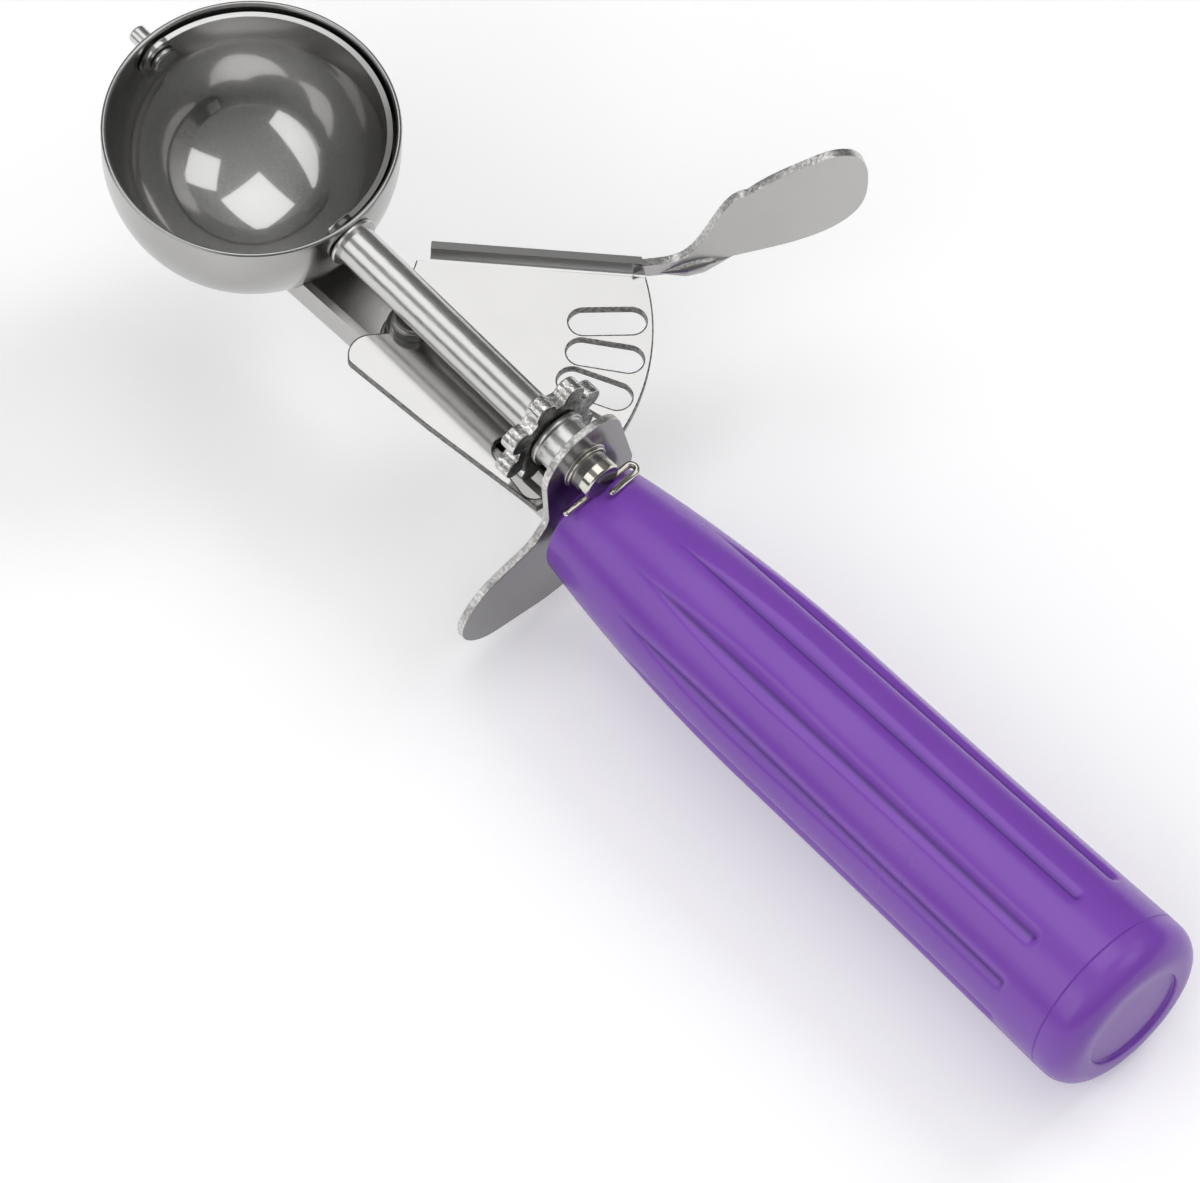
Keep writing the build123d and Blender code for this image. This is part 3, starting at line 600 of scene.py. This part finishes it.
# %% Thumb lever
HEAD_T, LEVER_ROUNDING = 2.3 * MM, 0.14 * MM
TOE, TOE_R, HUB_R = (0.0, -7.45 * MM), 3.4 * MM, 3.6 * MM
OUTSIDE = [(-7.4 * MM, 7.6 * MM), (-14 * MM, 8 * MM), (-14 * MM, -14 * MM), (0, -14 * MM)]
CUT_DEPTH, CUT_HEIGHT = 2.5 * MM, 3.5 * MM
post_low, post_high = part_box("lever_post")
pivot = (post_low + post_high) / 2
plate_top = post_high.z - HEAD_T
line = arc(TOE, TOE_R, 270, 135, 14) + arc((0, 0), HUB_R, 250, 165, 10) + OUTSIDE
base = Vector((pivot.x, pivot.y, plate_top - CUT_DEPTH))
cutter = drawn("lobe_cutter", [base + Vector((x, y, 0)) for x, y in line])
bpy.ops.mesh.edge_face_add()
bpy.ops.mesh.extrude_region_move(TRANSFORM_OT_translate={"value": (0, 0, CUT_HEIGHT)})
bpy.ops.mesh.select_all(action="SELECT")
bpy.ops.mesh.normals_make_consistent(inside=False)
bpy.ops.object.mode_set(mode="OBJECT")
lever = dressed("thumb_lever", LEVER_ROUNDING, cutter=cutter)
seat(lever, "thumb_lever", plate_steel, sheared_edge, pad_steel, punched_edge_painted_dark, lip_steel, fold_steel)

# %% [markdown]
# Faces of the lever
# The plate is polished, and the pad is brushed so that a thumb doesn't slip. Bending has left the
# sides of the lip dull, and its top is dark. Faces are told apart by their height over the plate, by
# their normals and by their distance from the end of the lip, where it runs into the pad.

# %% Faces of the lever
EDGE, PAD, PUNCHED_PAINTED_DARK, LIP, FOLD = range(1, 6)
PAD_ANGLE, SECTOR_R, PAD_GAP, LIP_RUN = radians(64.4), 33.6 * MM, 0.4 * MM, 2 * MM
FOLD_LOW, FOLD_HIGH, EDGE_HIGH = 0.12 * MM, 1.2 * MM, 0.05 * MM
BRIGHT_REACH, DARK_REACH = 1.7 * MM, 5.4 * MM
pad_out = Vector((cos(PAD_ANGLE), sin(PAD_ANGLE), 0))
pad_face = Vector((sin(PAD_ANGLE), -cos(PAD_ANGLE), 0))
lip_end = pivot + pad_out * (SECTOR_R + LIP_RUN)

def on_pad(c):
    return (c - pivot).dot(pad_out) > SECTOR_R + PAD_GAP

def from_lip_end(c):
    return (c - lip_end).xy.length

paint(lever, PAD, lambda c, n: on_pad(c))
paint(lever, EDGE, lambda c, n: on_pad(c) and abs(n.dot(pad_face)) < EDGE_ON)
paint(lever, FOLD, lambda c, n: not on_pad(c) and c.z > plate_top + FOLD_LOW)
paint(lever, LIP, lambda c, n: not on_pad(c) and c.z > plate_top + FOLD_HIGH and n.z > 0.3)
# Edges of the plate and its slots: painted dark, as a painted reflection.
paint(lever, PUNCHED_PAINTED_DARK, lambda c, n: not on_pad(c) and abs(n.z) < 0.85 and c.z < plate_top + EDGE_HIGH
      and from_lip_end(c) > DARK_REACH)
paint(lever, EDGE, lambda c, n: from_lip_end(c) < BRIGHT_REACH and c.z > plate_top)

# %% [markdown]
# Outline of the plate
# Polishing has drawn the edges of the plate and its slots well round, and the rounding mirrors a dark
# part of the room, so a fine dark line goes along them. An inset of the flat top gives a band, and the
# band is painted dark as that line: a painted reflection. The band keeps the polish from where the lip's
# bend starts.

# %% Outline of the plate
OUTLINE, FLATNESS, BEND_START = 0.20 * MM, 0.15 * MM, 9.9 * MM
LIP_OUT = Vector((-0.688, 0.726, 0))

def on_plate(face):
    """Whether a face lies in the flat top of the plate."""
    return (face.normal.z > 0.99 and abs(face.center.z - plate_top) < FLATNESS
            and not on_pad(face.center))

only(lever)
bpy.ops.object.mode_set(mode="EDIT")
bpy.ops.mesh.select_mode(type="FACE")
bpy.ops.mesh.select_all(action="DESELECT")
bpy.ops.object.mode_set(mode="OBJECT")
for face in lever.data.polygons:
    face.select = on_plate(face)
bpy.ops.object.mode_set(mode="EDIT")
bpy.ops.mesh.inset(thickness=OUTLINE, depth=0, use_even_offset=True, use_boundary=True)
bpy.ops.mesh.select_mode(type="VERT")
bpy.ops.object.mode_set(mode="OBJECT")
rim_faces_painted_dark = [face for face in lever.data.polygons if on_plate(face) and not face.select
             and (face.center - pivot).dot(LIP_OUT) < BEND_START]
# The outline band is painted dark, as a painted reflection of the dark room in the rounded edge.
for face in rim_faces_painted_dark:
    face.material_index = PUNCHED_PAINTED_DARK
bpy.ops.mesh.customdata_custom_splitnormals_clear()
settled(lever, "thumb_lever", LEVER_ROUNDING)
smoothed(lever)
print("plate outlined by", len(rim_faces_painted_dark), "faces")

# %% [markdown]
# Handle
# The handle swells from the bracket to the cap and stands against the bracket with a short spigot.
# Its outline goes through four radii: a curve up to the middle, then a flatter one to the seam. It is
# turned in close steps, so that the flutes can be pressed into it later.

# %% Handle body
GRIP_TILT = radians(3.2)
GRIP_DROP, GRIP_FACE, GRIP_ROUND, GRIP_L = 12.35 * MM, 1.8 * MM, 0.4 * MM, 102.3 * MM
FRONT_R, NECK, NECK_R, MID, MID_R = 8.85 * MM, 20 * MM, 11.15 * MM, 45 * MM, 12.45 * MM
REAR_R, SPIGOT_L, SPIGOT_R, BORE_R, SOCKET_R = 13.4 * MM, 0.4 * MM, 4.8 * MM, 2.6 * MM, 7.0 * MM
SEAM, STATIONS, FRONT_STEP = 0.16 * MM, 190, 0.2 * MM
grip_dir = Vector((cos(GRIP_TILT), 0, sin(GRIP_TILT)))
grip_up = Vector((-sin(GRIP_TILT), 0, cos(GRIP_TILT)))
grip_side = Vector((0, 1, 0))
grip_front = Vector((bracket_back + SPIGOT_L, 0, bowl_centre.z - GRIP_DROP))

edge = GRIP_FACE + GRIP_ROUND
tilt_a = (NECK_R - FRONT_R) / (NECK - edge)
tilt_b = (MID_R - NECK_R) / (MID - NECK)
bow = (tilt_b - tilt_a) / (MID - edge)
slope = tilt_b + bow * (MID - NECK)

def swell(s):
    """The body's radius at a distance s along its axis."""
    if s < MID:
        return FRONT_R + tilt_a * (s - edge) + bow * (s - edge) * (s - NECK)
    run, end = s - MID, GRIP_L - MID
    return MID_R + slope * run + (REAR_R - MID_R - slope * end) * (run / end) ** 2

stations = [edge + (GRIP_L - SEAM - edge) * i / STATIONS for i in range(STATIONS + 1)]
stations[1:4] = [edge + FRONT_STEP * i for i in range(1, 9)]
outline = [(-SPIGOT_L, BORE_R), (-SPIGOT_L, SPIGOT_R), (GRIP_FACE, SPIGOT_R)]
outline += [(GRIP_FACE, FRONT_R - 2 * GRIP_ROUND)]
outline += arc((edge, FRONT_R - GRIP_ROUND), GRIP_ROUND, 180, 100, 6)
outline += [(s, swell(s)) for s in stations]
outline += [(GRIP_L, REAR_R - SEAM), (GRIP_L, SOCKET_R)]
handle = turned("handle_grip", grip_front, grip_dir, grip_side, outline, 440)
print("handle turned with", len(handle.data.vertices), "vertices")

# %% [markdown]
# Flutes
# The handle has ten long flutes. Each starts as a point where the swell begins, soon reaches its full
# depth and stops short before the seam. Its bottom is a crease and its shoulders are soft. So a vertex
# moves inwards by the depth of a V at its distance from the crease, and a soft maximum rounds the
# shoulders. The wire clip gets a notch in the front edge in the same way.

# %% Flutes
FLUTES, FLUTE_PHASE, FLUTE_SPLAY, FLUTE_START, FLUTE_END = 10, radians(9), 1.9, 18 * MM, 95 * MM
FLUTE_LEAD, FLUTE_FIRST, FLUTE_LAST = 6 * MM, 0.1 * MM, 0.9 * MM
FLUTE_STOP, FLUTE_LIFT = 0.9 * MM, 0.5 * MM
CREASE, SHOULDER, SHADE, SHADE_DEPTH = 0.05 * MM, 0.20 * MM, 0.55 * MM, 0.4 * MM
CLIP_R, NOTCH_R = 0.5 * MM, 0.56 * MM

def flute_depth(s):
    """How far the bottom of a flute lies under the body's surface."""
    first, last = NECK_R - FLUTE_FIRST, REAR_R - FLUTE_LAST
    bottom = first + (last - first) * (s - FLUTE_START) / (FLUTE_END - FLUTE_START)
    stop = min(max((FLUTE_END - s) / FLUTE_STOP, 0), 1)
    return (swell(s) - bottom + FLUTE_LIFT) * stop * stop * (3 - 2 * stop) - FLUTE_LIFT

clip_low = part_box("spring_clip")[0]
wire = Vector((clip_low.x + CLIP_R, 0, clip_low.z + CLIP_R))
# The crease attribute holds painted shade for the bottom of each flute.
crease = handle.data.attributes.new("crease", "FLOAT", "POINT")
for vertex in handle.data.vertices:
    offset = vertex.co - grip_front
    s, y, z = offset.dot(grip_dir), offset.dot(grip_side), offset.dot(grip_up)
    r = sqrt(y * y + z * z)
    if FLUTE_START - FLUTE_LEAD < s < FLUTE_END + MM and r > SPIGOT_R:
        share = (atan2(z, y) - FLUTE_PHASE) / (2 * pi / FLUTES)
        beside = r * (share - round(share)) * 2 * pi / FLUTES
        groove = flute_depth(s) - (sqrt(beside * beside + CREASE * CREASE) - CREASE) / FLUTE_SPLAY
        press = (groove + sqrt(groove * groove + SHOULDER * SHOULDER)) / 2
        vertex.co -= (grip_side * y + grip_up * z) * (press / r)
        # Painted shade, strongest at the bottom of a deep flute.
        crease.data[vertex.index].value = max(1 - abs(beside) / SHADE, 0) * min(press / SHADE_DEPTH, 1)
    across = vertex.co.x - wire.x
    if abs(across) < NOTCH_R and vertex.co.z < wire.z:
        vertex.co.z = min(vertex.co.z, wire.z - sqrt(NOTCH_R * NOTCH_R - across * across))
seat(handle, "handle_body", grip_plastic)

# %% [markdown]
# End cap
# The cap closes the handle with a well rounded edge and a shallow round recess. A hair-thin seam
# shows where it meets the body, and a plug holds it there.

# %% End cap
CAP_L, CAP_STRAIGHT, CAP_BAND, CAP_FACE_R = 5.8 * MM, 1.6 * MM, 0.8 * MM, 9.3 * MM
CAP_RING_R, CAP_SINK, RING_EDGE, RING_FOOT = 7.9 * MM, 0.6 * MM, 0.3 * MM, 0.25 * MM
PLUG_L, PLUG_R = 6 * MM, 6.9 * MM
cap_end = GRIP_L + CAP_L
corner = CAP_L - CAP_STRAIGHT
outline = [(GRIP_L - PLUG_L, 0), (GRIP_L - PLUG_L, PLUG_R), (GRIP_L, PLUG_R), (GRIP_L, REAR_R - SEAM)]
outline += [(GRIP_L + SEAM, REAR_R), (GRIP_L + CAP_BAND, REAR_R)]
outline += [(GRIP_L + CAP_STRAIGHT + corner * sin(radians(a)),
             CAP_FACE_R + (REAR_R - CAP_FACE_R) * cos(radians(a))) for a in range(0, 91, 6)]
outline += arc((cap_end - RING_EDGE, CAP_RING_R + RING_FOOT), RING_EDGE, 0, -90, 5)
outline += arc((cap_end - CAP_SINK + RING_FOOT, CAP_RING_R - RING_EDGE), RING_FOOT, 90, 180, 5)
outline += [(cap_end - CAP_SINK, CAP_RING_R / 2), (cap_end - CAP_SINK, 0)]
cap = turned("handle_cap", grip_front, grip_dir, grip_side, outline, 256)
seat(cap, "end_cap", grip_plastic)

# %% [markdown]
# Return spring
# The spring is coiled round the lever's rivet. Its lower leg rests in the shank, and its upper end is
# hooked into the plate. The turns between them wind up as the lever is pressed. Here the wire is a
# plain copy of its solid in plain steel, not tied to either body.

# %% Return spring
spring = bpy.data.objects.new("return_spring_wire", nodes["return_spring"].data.copy())
scene.collection.objects.link(spring)
spring.data.materials.clear()
spring.data.materials.append(plain_steel)
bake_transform(spring)
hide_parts("return_spring")

# %% [markdown]
# Hidden hardware
# The stud, its washer and its nut stay inside the handle. Their solids are right as they are, so they
# only get plain steel.

# %% Hidden hardware
for node in ("grip_stud", "stud_washer", "stud_nut"):
    nodes[node].data.materials.clear()
    nodes[node].data.materials.append(plain_steel)
    print(node, "left as it is, in", plain_steel.name)
